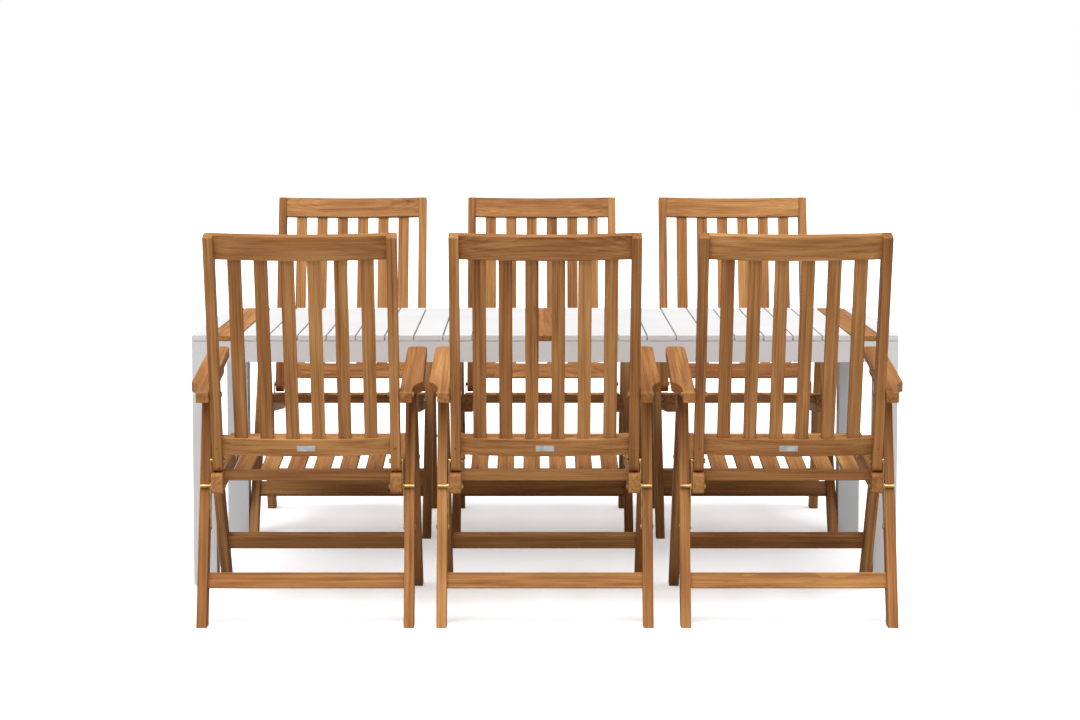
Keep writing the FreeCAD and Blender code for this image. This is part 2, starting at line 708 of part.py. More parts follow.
# ---------------------------------------------------------------- table
def table(middle_y):
    """Table pieces round the table's own middle, moved to its place."""
    long, wide, high = size("table_long"), size("table_wide"), size("table_high")
    top_under = high - size("slat_thick")
    frame_top = top_under - size("reveal_high")
    side, apron = size("table_leg_side"), size("apron_thick")
    apron_under = frame_top - size("apron_high")
    place = Placement(Vector(0, middle_y, 0), Rotation())
    nodes = []

    white, teak = [], []
    count = int(size("slat_count"))
    border, gap = size("border_wide"), size("slat_gap")
    width = (long - 2 * border - (count + 1) * gap) / count
    boards = [(-long / 2, border, white), (long / 2 - border, border, white)]
    for i in range(count):
        x = -long / 2 + border + gap + i * (width + gap)
        boards.append((x, width, teak if i in (0, count // 2, count - 1) else white))
    reach = long / 2 - border + size("border_screw_inset")
    screw_xs = [-reach, reach] + [x + w / 2 for x, w, _ in boards[2:]]
    for i, (x, w, group) in enumerate(boards):
        board, hollow = tube("table_board_%d" % (i + 1), "%.4f" % w, cell("table_wide"), cell("slat_thick"),
                             Placement(Vector(x, -wide / 2, top_under), Rotation()), "slat_wall")
        board = rounded(board, size("metal_round"), lambda e: abs(e.CenterOfMass.z - high) < 0.01)
        group.append(cut(board, hollow) if group is white else board)
    nodes.append(node("table_white_slats", white, place))
    nodes.append(node("table_teak_slats", teak, place))

    legs, feet = [], []
    foot_high, foot = size("foot_high"), size("foot_side")
    for i, (sx, sy) in enumerate(((-1, -1), (1, -1), (-1, 1), (1, 1))):
        x = sx * (long / 2 - side / 2)
        y = sy * (wide / 2 - side / 2)
        post, hollow = tube("table_leg_%d" % (i + 1), cell("table_leg_side"), cell("table_leg_side"),
                            "%.4f" % (frame_top - foot_high),
                            Placement(Vector(x - side / 2, y - side / 2, foot_high), Rotation()),
                            "frame_wall")
        legs.append(cut(rounded(post, size("metal_round"), runs_along(Vector(0, 0, 1))), hollow))
        pad = box("table_foot_%d" % (i + 1), cell("foot_side"), cell("foot_side"), cell("foot_high"),
                  Placement(Vector(x - foot / 2, y - foot / 2, 0), Rotation()))
        feet.append(rounded(pad, size("metal_round"), runs_along(Vector(0, 0, 1))))
    nodes.append(node("table_legs", legs, place))
    nodes.append(node("table_feet", feet, place))

    bars = []
    run_x, run_y = long - 2 * side, wide - 2 * side
    for sign in (-1, 1):
        y = sign * (wide / 2 - apron / 2) - apron / 2
        bars.append(tube("long_apron", "%.4f" % run_x, cell("apron_thick"), cell("apron_high"),
                         Placement(Vector(-run_x / 2, y, apron_under), Rotation()), "frame_wall"))
        x = sign * (long / 2 - apron / 2) - apron / 2
        bars.append(tube("end_apron", cell("apron_thick"), "%.4f" % run_y, cell("apron_high"),
                         Placement(Vector(x, -run_y / 2, apron_under), Rotation()), "frame_wall"))
    bearer, bearer_high = size("bearer_wide"), size("bearer_high")
    bearer_run = long - 2 * apron
    bearer_ys = [-(run_y / 2 - bearer / 2), 0, run_y / 2 - bearer / 2]
    for y in bearer_ys:
        bars.append(tube("slat_bearer", "%.4f" % bearer_run, cell("bearer_wide"), cell("bearer_high"),
                         Placement(Vector(-bearer_run / 2, y - bearer / 2, top_under - bearer_high),
                                   Rotation()), "frame_wall"))
    rails = [cut(outer, inner) for outer, inner in bars]
    nodes.append(node("table_frame", rails, place))

    screws = []
    head_high = size("screw_head_high")
    for x in screw_xs:
        for y in bearer_ys:
            low = top_under - bearer_high
            cap = upright("slat_screw_head", "sizes.screw_head_radius", "sizes.screw_head_high",
                          x, y, low - head_high)
            screws.append(cap)
    nodes.append(node("table_screws", screws, place))
    return nodes


# ---------------------------------------------------------------- whole set
def chair_places():
    """Placement of each chair, and how far the set reaches each way along Y."""
    outer_x = size("table_long") / 2 - size("table_leg_side") - size("chair_leg_clear") - LEG_OUT
    arm_y = ARM_PIVOT[0] + size("arm_long") * cos(size("arm_slope")) + size("arm_thick") / 2 * sin(
        size("arm_slope"))
    near_y = -size("table_wide") / 2 - size("near_gap") - arm_y
    far_y = size("table_wide") / 2 + size("far_gap") + arm_y
    near_xs = (-outer_x + size("near_left_shift"), size("middle_shift"), outer_x)
    far_xs = (-outer_x, size("middle_shift"), outer_x)
    places = [Placement(Vector(x, near_y, 0), Rotation()) for x in near_xs]
    half_turn = Rotation(Vector(0, 0, 1), 180)
    places += [Placement(Vector(x, far_y, 0), half_turn) for x in far_xs]
    return places


def main():
    template = [front_legs(), leg_bolts(), rear_legs(), seat(), fold_links(), back_hinges(), back(),
                arm_bolts(), arms()]
    DOC.recompute()
    places = chair_places()
    reach_back = -min(piece.Shape.BoundBox.YMin for piece in template)
    near_end = places[0].Base.y - reach_back
    far_end = places[-1].Base.y + reach_back
    shift = -(near_end + far_end) / 2
    subparts = table(shift)
    for number, place in enumerate(places, start=1):
        moved = Placement(place.Base + Vector(0, shift, 0), place.Rotation)
        for piece in template:
            subparts.append(node("chair%d_%s" % (number, piece.Label), [piece], moved))
    DOC.recompute()
    for obj in DOC.Objects:
        if "Invalid" in obj.State or "Error" in obj.State:
            raise RuntimeError("%s failed: %s" % (obj.Name, obj.State))
    os.makedirs("parts", exist_ok=True)
    for piece in subparts:
        if piece.Shape.isNull() or not piece.Shape.isValid():
            raise RuntimeError("%s has no valid shape" % piece.Label)
    for piece in subparts:
        piece.Shape.exportStep(os.path.join("parts", piece.Label + ".step"))


main()
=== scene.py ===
"""Patio dining set: slatted table and six folding teak armchairs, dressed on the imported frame."""
import math
import random

import bmesh
import bpy
from mathutils import Matrix, Vector


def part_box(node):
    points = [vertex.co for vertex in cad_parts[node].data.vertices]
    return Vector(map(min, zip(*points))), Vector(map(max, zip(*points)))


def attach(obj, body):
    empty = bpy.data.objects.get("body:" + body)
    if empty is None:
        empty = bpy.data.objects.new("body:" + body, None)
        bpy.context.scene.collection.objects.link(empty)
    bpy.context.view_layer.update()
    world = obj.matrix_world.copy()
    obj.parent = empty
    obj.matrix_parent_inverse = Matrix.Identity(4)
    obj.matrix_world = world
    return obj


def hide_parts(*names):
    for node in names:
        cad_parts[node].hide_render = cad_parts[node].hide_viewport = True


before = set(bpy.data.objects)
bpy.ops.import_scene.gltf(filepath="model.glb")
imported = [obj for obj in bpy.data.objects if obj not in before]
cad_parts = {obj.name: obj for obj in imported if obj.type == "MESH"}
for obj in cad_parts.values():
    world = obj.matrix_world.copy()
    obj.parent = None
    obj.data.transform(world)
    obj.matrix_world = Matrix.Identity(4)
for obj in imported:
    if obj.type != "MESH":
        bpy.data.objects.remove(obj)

bl_info = {
    "name": "Patio Dining Set",
    "version": (1, 0, 0),
    "blender": (4, 5, 0),
    "location": "View3D > Sidebar > Patio Set",
    "description": "Builds the wood, metal and small fittings of a patio dining set on its frame",
    "category": "Object",
}

CHAIRS = range(1, 7)
WOOD_PARTS = {"front_legs": "front_frame", "rear_legs": "rear_frame", "seat": "seat_frame",
              "back": "back_frame", "arms": "arm_pair"}
BRASS_PARTS = ("leg_bolts", "fold_links", "back_hinges", "arm_bolts")
ACROSS, UP = Vector((1, 0, 0)), Vector((0, 0, 1))
WELD = 2e-6
SMOOTH_UNDER = math.radians(40)
SQUARE_OVER = math.radians(60)
PLUG_TONE = 2.2


# ---------------------------------------------------------------- settings
class WoodSettings(bpy.types.PropertyGroup):
    """How the teak is grown, sawn and eased."""
    ring_spacing: bpy.props.FloatProperty(
        name="Ring spacing", description="Distance between growth rings", default=0.0045,
        min=0.001, max=0.02, unit="LENGTH")
    pith_distance: bpy.props.FloatProperty(
        name="Pith distance", description="How far the tree's middle lies outside a board",
        default=0.07, min=0.0, max=0.3, unit="LENGTH")
    rail_bevel: bpy.props.FloatProperty(
        name="Rail bevel", description="Easing of the dished back rails", default=0.0022,
        min=0.0, max=0.005, unit="LENGTH")
    crease: bpy.props.FloatProperty(
        name="Crease angle", description="Edges sharper than this stay sharp",
        default=SMOOTH_UNDER, min=0.0, max=math.pi, subtype="ANGLE")
    seed: bpy.props.IntProperty(name="Seed", description="Picks each board's own figure", default=7)


class TopSettings(bpy.types.PropertyGroup):
    """Edges of the coated metal slats."""
    edge_round: bpy.props.FloatProperty(
        name="Edge round", description="Radius along the slats' long edges", default=0.0016,
        min=0.0002, max=0.005, unit="LENGTH")
    round_steps: bpy.props.IntProperty(
        name="Round steps", description="Facets in each rounded edge", default=4, min=1, max=8)


class FittingSettings(bpy.types.PropertyGroup):
    """Small fittings on each chair."""
    plug_radius: bpy.props.FloatProperty(
        name="Plug radius", description="Wood plug over the screw in each stile", default=0.0042,
        min=0.001, max=0.01, unit="LENGTH")
    plug_rise: bpy.props.FloatProperty(
        name="Plug rise", description="How far a plug stands proud", default=0.0004,
        min=0.0001, max=0.002, unit="LENGTH")
    head_radius: bpy.props.FloatProperty(
        name="Head radius", description="Domed head of the strap's lower bolt", default=0.007,
        min=0.002, max=0.015, unit="LENGTH")
    head_rise: bpy.props.FloatProperty(
        name="Head rise", description="How far a domed head stands proud", default=0.003,
        min=0.001, max=0.006, unit="LENGTH")
    plate_size: bpy.props.FloatVectorProperty(
        name="Plate size", description="Blank plate on the lower back rail: long, high, thick",
        size=3, default=(0.050, 0.017, 0.0009), unit="LENGTH")
    plate_corner: bpy.props.FloatProperty(
        name="Plate corner", description="Radius of the blank plate's corners", default=0.002,
        min=0.0, max=0.006, unit="LENGTH")
    rivet_inset: bpy.props.FloatProperty(
        name="Rivet inset", description="From the blank plate's ends to its rivets",
        default=0.005, min=0.001, max=0.02, unit="LENGTH")
    rivet_radius: bpy.props.FloatProperty(
        name="Rivet radius", description="Rivets of the blank plate", default=0.0016,
        min=0.0005, max=0.004, unit="LENGTH")


class StageSettings(bpy.types.PropertyGroup):
    """Camera, light and floor."""
    lens: bpy.props.FloatProperty(
        name="Lens", description="Focal length on a 36 mm sensor", default=83.58, min=20, max=200,
        subtype="DISTANCE_CAMERA")
    eye: bpy.props.FloatVectorProperty(
        name="Eye", description="Where the camera stands", size=3, default=(-0.0419, -7.669, 1.4686),
        subtype="TRANSLATION", unit="LENGTH")
    shift: bpy.props.FloatVectorProperty(
        name="Shift", description="Lens shift across and up", size=2, default=(0.0087, -0.075))
    pitch: bpy.props.FloatProperty(
        name="Pitch", description="How far the camera looks down", default=math.radians(4.458),
        min=0.0, max=math.pi / 2, subtype="ANGLE")
    sky: bpy.props.FloatProperty(
        name="Sky", description="Strength of the even white light", default=0.31, min=0, max=5)
    key: bpy.props.FloatProperty(
        name="Key", description="Strength of the broad high light", default=4.2, min=0, max=20)
    floor_bounce: bpy.props.FloatProperty(
        name="Floor bounce", description="Share of light that the floor throws back",
        default=0.55, min=0.0, max=1.0, subtype="FACTOR")
    floor_lift: bpy.props.FloatProperty(
        name="Floor lift", description="How much the floor's shadows are lightened",
        default=0.38, min=0.0, max=1.0)
    key_height: bpy.props.FloatProperty(
        name="Key height", description="Angle of the high light above the floor",
        default=math.radians(68), min=0.0, max=math.pi / 2, subtype="ANGLE")
    key_spread: bpy.props.FloatProperty(
        name="Key spread", description="How broad and so how soft the high light is",
        default=math.radians(55), min=0.0, max=math.pi, subtype="ANGLE")


# ---------------------------------------------------------------- mesh helpers
def merged(node):
    """Closed mesh of a CAD node, its triangles joined."""
    bm = bmesh.new()
    bm.from_mesh(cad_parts[node].data)
    bmesh.ops.remove_doubles(bm, verts=bm.verts, dist=WELD)
    bmesh.ops.dissolve_degenerate(bm, edges=bm.edges, dist=1e-7)
    return bm


def boards(bm):
    """Vertices of each separate board."""
    seen, found = set(), []
    for first in bm.verts:
        if first in seen:
            continue
        seen.add(first)
        group, stack = [], [first]
        while stack:
            vert = stack.pop()
            group.append(vert)
            for edge in vert.link_edges:
                other = edge.other_vert(vert)
                if other not in seen:
                    seen.add(other)
                    stack.append(other)
        found.append(group)
    return found


def span(verts, direction):
    """How far a board reaches along a direction."""
    reach = [v.co.dot(direction) for v in verts]
    return max(reach) - min(reach)


def long_axis(verts):
    """Direction in which a board runs."""
    edges = {e for v in verts for e in v.link_edges}
    creases = [e for e in edges if e.calc_face_angle(0) > 0.03]
    longest = max(creases, key=lambda e: e.calc_length())
    along = (longest.verts[1].co - longest.verts[0].co).normalized()
    return max((along, ACROSS), key=lambda d: span(verts, d))


def middle(verts):
    """Middle of a board's box."""
    low = Vector([min(v.co[i] for v in verts) for i in range(3)])
    high = Vector([max(v.co[i] for v in verts) for i in range(3)])
    return (low + high) / 2


def to_object(bm, name, material, crease):
    """Object from a mesh, smooth apart from its creases."""
    for edge in bm.edges:
        edge.smooth = edge.calc_face_angle(0) < crease
    for face in bm.faces:
        face.smooth = True
        face.material_index = 0
    mesh = bpy.data.meshes.new(name)
    bm.to_mesh(mesh)
    bm.free()
    if "custom_normal" in mesh.attributes:
        mesh.attributes.remove(mesh.attributes["custom_normal"])
    mesh.materials.append(material)
    obj = bpy.data.objects.new(name, mesh)
    bpy.context.scene.collection.objects.link(obj)
    normals = obj.modifiers.new("even_faces", "WEIGHTED_NORMAL")
    normals.keep_sharp = True
    return obj


# ---------------------------------------------------------------- node helpers
def add(tree, kind, inputs=(), **options):
    """Node with its options and inputs set; an input is a value or another node's socket."""
    made = tree.nodes.new(kind)
    for key, value in options.items():
        setattr(made, key, value)
    for key, value in dict(inputs).items():
        if isinstance(value, bpy.types.NodeSocket):
            tree.links.new(value, made.inputs[key])
        else:
            made.inputs[key].default_value = value
    return made


def math_node(tree, operation, a, b=0.0):
    return add(tree, "ShaderNodeMath", {0: a, 1: b}, operation=operation).outputs[0]


def stretched(tree, vector, scale):
    made = add(tree, "ShaderNodeVectorMath", {0: vector, 1: scale}, operation="MULTIPLY")
    return made.outputs[0]


def noise(tree, vector, scale, detail=3.0, rough=0.5):
    made = add(tree, "ShaderNodeTexNoise", {"Vector": vector, "Scale": scale, "Detail": detail,
                                            "Roughness": rough})
    return made.outputs["Fac"]


def fit(tree, value, low, high, to_low=0.0, to_high=1.0):
    made = add(tree, "ShaderNodeMapRange", {"Value": value, "From Min": low, "From Max": high,
                                            "To Min": to_low, "To Max": to_high})
    return made.outputs["Result"]


def ramp(tree, value, stops):
    made = add(tree, "ShaderNodeValToRGB", {"Fac": value})
    while len(made.color_ramp.elements) < len(stops):
        made.color_ramp.elements.new(1.0)
    for element, (position, colour) in zip(made.color_ramp.elements, stops):
        element.position = position
        element.color = (*colour, 1)
    return made.outputs["Color"]


def mixed(tree, factor, a, b, blend="MIX"):
    made = add(tree, "ShaderNodeMix", data_type="RGBA", blend_type=blend)
    for index, value in ((0, factor), (6, a), (7, b)):
        if isinstance(value, bpy.types.NodeSocket):
            tree.links.new(value, made.inputs[index])
        else:
            made.inputs[index].default_value = value
    return made.outputs[2]


def group(name, inputs, outputs):
    """Empty shader group with its sockets; returns the tree, its input and output nodes."""
    tree = bpy.data.node_groups.new(name, "ShaderNodeTree")
    for label, kind in inputs:
        tree.interface.new_socket(label, in_out="INPUT", socket_type=kind)
    for label, kind in outputs:
        tree.interface.new_socket(label, in_out="OUTPUT", socket_type=kind)
    return tree, tree.nodes.new("NodeGroupInput"), tree.nodes.new("NodeGroupOutput")


FINISH = [("Colour", "NodeSocketColor"), ("Roughness", "NodeSocketFloat"),
          ("Height", "NodeSocketFloat")]


def finish_group(tree, out, colour, roughness, height):
    for socket, value in zip(("Colour", "Roughness", "Height"), (colour, roughness, height)):
        tree.links.new(value, out.inputs[socket])


def teak_group(rings):
    """Teak: growth rings, long streaks, short dark pores and a tone of each board's own."""
    tree, source, out = group("Teak figure", [("Grain", "NodeSocketVector"),
                                              ("Tone", "NodeSocketFloat")], FINISH)
    grain, tone = source.outputs["Grain"], source.outputs["Tone"]
    streak = noise(tree, stretched(tree, grain, (1.1, 34.0, 34.0)), 3.0, 6.0, 0.62)
    broad = noise(tree, stretched(tree, grain, (0.9, 7.0, 7.0)), 2.2, 2.0)
    wave = add(tree, "ShaderNodeTexWave", {"Vector": stretched(tree, grain, (0.22, 1.0, 1.0)),
               "Scale": rings, "Distortion": 2.6, "Detail": 3.0, "Detail Scale": 0.35,
               "Detail Roughness": 0.55}, wave_type="RINGS", rings_direction="X",
               wave_profile="SAW").outputs["Fac"]
    pores = noise(tree, stretched(tree, grain, (22.0, 1050.0, 1050.0)), 1.0, 2.0, 0.6)
    pore_mask = fit(tree, pores, 0.60, 0.72)
    figure = math_node(tree, "MULTIPLY", fit(tree, streak, 0.30, 0.72), 0.52)
    figure = math_node(tree, "ADD", figure, math_node(tree, "MULTIPLY", wave, 0.20))
    figure = math_node(tree, "ADD", figure,
                       math_node(tree, "MULTIPLY", fit(tree, broad, 0.3, 0.7), 0.28))
    colour = ramp(tree, figure, [(0.12, (0.172, 0.063, 0.015)), (0.36, (0.336, 0.141, 0.038)),
                                 (0.62, (0.484, 0.228, 0.070)), (0.95, (0.640, 0.350, 0.130))])
    colour = mixed(tree, tone, colour, mixed(tree, 1.0, colour, (0.70, 0.60, 0.50, 1), "MULTIPLY"))
    colour = mixed(tree, math_node(tree, "MULTIPLY", pore_mask, 0.38), colour,
                   (0.16, 0.065, 0.024, 1))
    rough = math_node(tree, "ADD", fit(tree, streak, 0.3, 0.7, 0.62, 0.52),
                      math_node(tree, "MULTIPLY", pore_mask, 0.22))
    height = math_node(tree, "SUBTRACT", math_node(tree, "MULTIPLY", streak, 0.5), pore_mask)
    finish_group(tree, out, colour, rough, height)
    return tree


def coat_group():
    """Powder coat: fine orange peel, faint waviness and an even, barely uneven white."""
    tree, source, out = group("Powder coat", [("Place", "NodeSocketVector")], FINISH)
    place = source.outputs["Place"]
    peel = noise(tree, place, 620.0, 2.0)
    fine = noise(tree, place, 2100.0, 1.0)
    broad = noise(tree, place, 5.0, 3.0)
    colour = ramp(tree, broad, [(0.3, (0.672, 0.672, 0.675)), (0.7, (0.698, 0.698, 0.700))])
    rough = math_node(tree, "ADD", fit(tree, broad, 0.3, 0.7, 0.42, 0.50),
                      math_node(tree, "MULTIPLY", fine, 0.06))
    height = math_node(tree, "ADD", peel, math_node(tree, "MULTIPLY", fine, 0.4))
    finish_group(tree, out, colour, rough, height)
    return tree


def metal_group(name, bright, dull, stretch, rough_low, rough_high):
    """Metal with drawn lines along one direction and duller patches."""
    tree, source, out = group(name, [("Place", "NodeSocketVector")], FINISH)
    place = source.outputs["Place"]
    lines = noise(tree, stretched(tree, place, stretch), 1.0, 3.0, 0.6)
    patches = noise(tree, place, 45.0, 4.0, 0.6)
    dulled = fit(tree, patches, 0.42, 0.66)
    colour = mixed(tree, dulled, (*bright, 1), (*dull, 1))
    rough = math_node(tree, "ADD", fit(tree, patches, 0.35, 0.7, rough_low, rough_high),
                      math_node(tree, "MULTIPLY", lines, 0.08))
    finish_group(tree, out, colour, rough, lines)
    return tree


def moulded_group():
    """Moulded plastic: a fine spark texture and slightly scuffed black."""
    tree, source, out = group("Moulded plastic", [("Place", "NodeSocketVector")], FINISH)
    place = source.outputs["Place"]
    spark = noise(tree, place, 1600.0, 2.0, 0.7)
    scuff = noise(tree, place, 60.0, 4.0, 0.65)
    colour = ramp(tree, scuff, [(0.35, (0.018, 0.018, 0.019)), (0.75, (0.055, 0.054, 0.052))])
    finish_group(tree, out, colour, fit(tree, scuff, 0.3, 0.7, 0.48, 0.66), spark)
    return tree


def material(name, tree, vector, metallic=0.0, bump=0.1, depth=0.0004, **more):
    """Material whose colour, roughness and relief come from a group."""
    made = bpy.data.materials.new(name)
    made.use_nodes = True
    nodes = made.node_tree
    shader = nodes.nodes["Principled BSDF"]
    if vector == "grain":
        place = add(nodes, "ShaderNodeAttribute", attribute_name="grain").outputs["Vector"]
    else:
        place = add(nodes, "ShaderNodeTexCoord").outputs["Object"]
    finish = add(nodes, "ShaderNodeGroup", node_tree=tree)
    nodes.links.new(place, finish.inputs[0])
    if vector == "grain":
        tone = add(nodes, "ShaderNodeAttribute", attribute_name="board").outputs["Fac"]
        nodes.links.new(tone, finish.inputs["Tone"])
    relief = add(nodes, "ShaderNodeBump", {"Height": finish.outputs["Height"], "Strength": bump,
                                           "Distance": depth})
    nodes.links.new(finish.outputs["Colour"], shader.inputs["Base Color"])
    nodes.links.new(finish.outputs["Roughness"], shader.inputs["Roughness"])
    nodes.links.new(relief.outputs["Normal"], shader.inputs["Normal"])
    shader.inputs["Metallic"].default_value = metallic
    for socket, value in more.items():
        shader.inputs[socket.replace("_", " ")].default_value = value
    return made


def materials():
    """Every finish, made once."""
    if "Teak" in bpy.data.materials:
        return
    spacing = bpy.context.scene.patio_wood.ring_spacing
    material("Teak", teak_group(2 * math.pi / (20 * spacing)), "grain", bump=0.35, depth=0.0003,
             Specular_IOR_Level=0.28)
    material("White Coat", coat_group(), "object", bump=0.12, depth=0.0002)
    material("Brass", metal_group("Drawn brass", (0.62, 0.42, 0.17), (0.36, 0.22, 0.085),
                                  (900.0, 160.0, 900.0), 0.24, 0.46), "object", metallic=1.0)
    material("Steel", metal_group("Drawn steel", (0.58, 0.58, 0.57), (0.42, 0.42, 0.41),
                                  (900.0, 900.0, 120.0), 0.28, 0.44), "object", metallic=1.0)
    material("Black Plastic", moulded_group(), "object", bump=0.3)


# ---------------------------------------------------------------- geometry node groups
def geometry_group(name, inputs):
    tree = bpy.data.node_groups.new(name, "GeometryNodeTree")
    tree.interface.new_socket("Geometry", in_out="INPUT", socket_type="NodeSocketGeometry")
    for label, kind in inputs:
        tree.interface.new_socket(label, in_out="INPUT", socket_type=kind)
    tree.interface.new_socket("Geometry", in_out="OUTPUT", socket_type="NodeSocketGeometry")
    return tree, tree.nodes.new("NodeGroupInput"), tree.nodes.new("NodeGroupOutput")


def placed_on_points(tree, source, out, shape, turn=None):
    """Instances of a shape on the incoming points, made real and given their material."""
    inputs = {"Points": source.outputs["Geometry"], "Instance": shape}
    if turn is not None:
        inputs["Rotation"] = turn
    spread = add(tree, "GeometryNodeInstanceOnPoints", inputs)
    real = add(tree, "GeometryNodeRealizeInstances", {"Geometry": spread.outputs["Instances"]})
    painted = add(tree, "GeometryNodeSetMaterial", {"Geometry": real.outputs["Geometry"],
                                                    "Material": source.outputs["Material"]})
    tree.links.new(painted.outputs["Geometry"], out.inputs["Geometry"])


def bar_tree():
    """Bars with rounded long edges, lying along Y, one on each point."""
    name = "Bars on points"
    if name in bpy.data.node_groups:
        return bpy.data.node_groups[name]
    tree, source, out = geometry_group(name, [
        ("Width", "NodeSocketFloat"), ("Thickness", "NodeSocketFloat"),
        ("Length", "NodeSocketFloat"), ("Round", "NodeSocketFloat"), ("Steps", "NodeSocketInt"),
        ("Material", "NodeSocketMaterial")])
    pick = source.outputs
    outline = add(tree, "GeometryNodeCurvePrimitiveQuadrilateral",
                  {"Width": pick["Width"], "Height": pick["Thickness"]})
    soft = add(tree, "GeometryNodeFilletCurve", {"Curve": outline.outputs["Curve"],
               "Radius": pick["Round"], "Count": pick["Steps"]}, mode="POLY")
    start, end = (add(tree, "ShaderNodeCombineXYZ",
                      {"Y": math_node(tree, "MULTIPLY", pick["Length"], share)})
                  for share in (-0.5, 0.5))
    line = add(tree, "GeometryNodeCurvePrimitiveLine", {"Start": start.outputs[0],
                                                        "End": end.outputs[0]})
    bar = add(tree, "GeometryNodeCurveToMesh", {"Curve": line.outputs["Curve"],
                                                "Profile Curve": soft.outputs["Curve"],
                                                "Fill Caps": True})
    placed_on_points(tree, source, out, bar.outputs["Mesh"])
    return tree


def dome_tree():
    """Low round domes, one on each point, all turned the same way."""
    name = "Domes on points"
    if name in bpy.data.node_groups:
        return bpy.data.node_groups[name]
    tree, source, out = geometry_group(name, [
        ("Radius", "NodeSocketFloat"), ("Rise", "NodeSocketFloat"), ("Turn", "NodeSocketVector"),
        ("Material", "NodeSocketMaterial")])
    pick = source.outputs
    ball = add(tree, "GeometryNodeMeshUVSphere", {"Segments": 28, "Rings": 14, "Radius": 1.0})
    scale = add(tree, "ShaderNodeCombineXYZ", {"X": pick["Radius"], "Y": pick["Radius"],
                                               "Z": pick["Rise"]})
    flat = add(tree, "GeometryNodeTransform", {"Geometry": ball.outputs["Mesh"],
                                               "Scale": scale.outputs[0]})
    placed_on_points(tree, source, out, flat.outputs["Geometry"], pick["Turn"])
    return tree


def grown(tree, points, values):
    """Plain mesh that a geometry group makes on some points."""
    seed = bpy.data.meshes.new("points")
    seed.from_pydata(points, [], [])
    holder = bpy.data.objects.new("points", seed)
    bpy.context.scene.collection.objects.link(holder)
    modifier = holder.modifiers.new("grow", "NODES")
    modifier.node_group = tree
    for item in tree.interface.items_tree:
        if item.in_out == "INPUT" and item.name in values:
            modifier[item.identifier] = values[item.name]
    bpy.context.view_layer.update()
    depsgraph = bpy.context.evaluated_depsgraph_get()
    made = bpy.data.meshes.new_from_object(holder.evaluated_get(depsgraph))
    bpy.data.objects.remove(holder)
    bpy.data.meshes.remove(seed)
    return made


def joined(meshes):
    """One mesh from several, welded, with normals outward."""
    bm = bmesh.new()
    for mesh in meshes:
        bm.from_mesh(mesh)
        bpy.data.meshes.remove(mesh)
    bmesh.ops.remove_doubles(bm, verts=bm.verts, dist=1e-6)
    bmesh.ops.recalc_face_normals(bm, faces=bm.faces)
    return bm


# ---------------------------------------------------------------- pieces
def mark_grain(bm, node):
    """Gives every board its own piece of tree and its own tone."""
    wood = bpy.context.scene.patio_wood
    grain = bm.verts.layers.float_vector.new("grain")
    tone = bm.verts.layers.float.new("board")
    for number, verts in enumerate(boards(bm)):
        chance = random.Random("%s %d %d" % (node, number, wood.seed))
        along = long_axis(verts)
        side = ACROSS if abs(along.x) < 0.9 else Vector((0, 1, 0))
        other = along.cross(side).normalized()
        side = other.cross(along)
        centre = middle(verts)
        angle = chance.uniform(0, 2 * math.pi)
        far = wood.pith_distance * chance.uniform(0.4, 1.3)
        shift = Vector((chance.uniform(-3, 3), far * math.cos(angle), far * math.sin(angle)))
        shade = chance.random() ** 1.4
        for vert in verts:
            away = vert.co - centre
            vert[grain] = Vector((away.dot(along), away.dot(side), away.dot(other))) + shift
            vert[tone] = shade


def ease_rails(bm, bevel):
    """Eases the long edges of the dished rails, which come square from the saw."""
    edges = []
    for verts in boards(bm):
        if span(verts, ACROSS) < 0.3:
            continue
        for edge in {e for v in verts for e in v.link_edges}:
            way = (edge.verts[1].co - edge.verts[0].co).normalized()
            if edge.calc_face_angle(0) > SQUARE_OVER and abs(way.x) > 0.7:
                edges.append(edge)
    bmesh.ops.bevel(bm, geom=edges, offset=bevel, offset_type="OFFSET", segments=3, profile=0.5,
                    affect="EDGES", clamp_overlap=True)


def wooden(node, body):
    """Teak boards that stand for a CAD node."""
    wood = bpy.context.scene.patio_wood
    bm = merged(node)
    if node.endswith("_back"):
        ease_rails(bm, wood.rail_bevel)
    mark_grain(bm, node)
    piece = to_object(bm, node + "_boards", bpy.data.materials["Teak"], wood.crease)
    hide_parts(node)
    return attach(piece, body)


def repaint(node, name):
    """Better finish on a CAD node that keeps its shape."""
    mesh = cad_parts[node].data
    if not mesh.materials:
        mesh.materials.append(None)
    for index in range(len(mesh.materials)):
        mesh.materials[index] = bpy.data.materials[name]


def small_piece(bm, name, finish, body):
    """Small fitting that rides on a body."""
    piece = to_object(bm, name, bpy.data.materials[finish], SMOOTH_UNDER)
    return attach(piece, body)


def back_geometry(chair):
    """Rear direction of a chair's back, its stiles' rear faces and its low rail's rear face."""
    bm = merged("chair%d_back" % chair)
    groups = boards(bm)
    tall = [g for g in groups if span(g, UP) > 0.6]
    rails = sorted((g for g in groups if span(g, ACROSS) > 0.3), key=lambda g: middle(g).z)
    low = rails[0]
    up = long_axis(tall[0])
    up = up if up.z > 0 else -up
    rear = Vector((0, 1, 0)) - up * up.y
    rear.normalize()
    rear = rear if middle(rails[-1]).y * rear.y > middle(low).y * rear.y else -rear
    height = middle(low).dot(up)
    spots = []
    for stile in tall:
        face = max(v.co.dot(rear) for v in stile)
        spots.append(Vector((middle(stile).x, 0, 0)) + up * height + rear * face)
    face = max(v.co.dot(rear) for v in low)
    plate = Vector((middle(low).x, 0, 0)) + up * height + rear * face
    bm.free()
    return up, rear, spots, plate


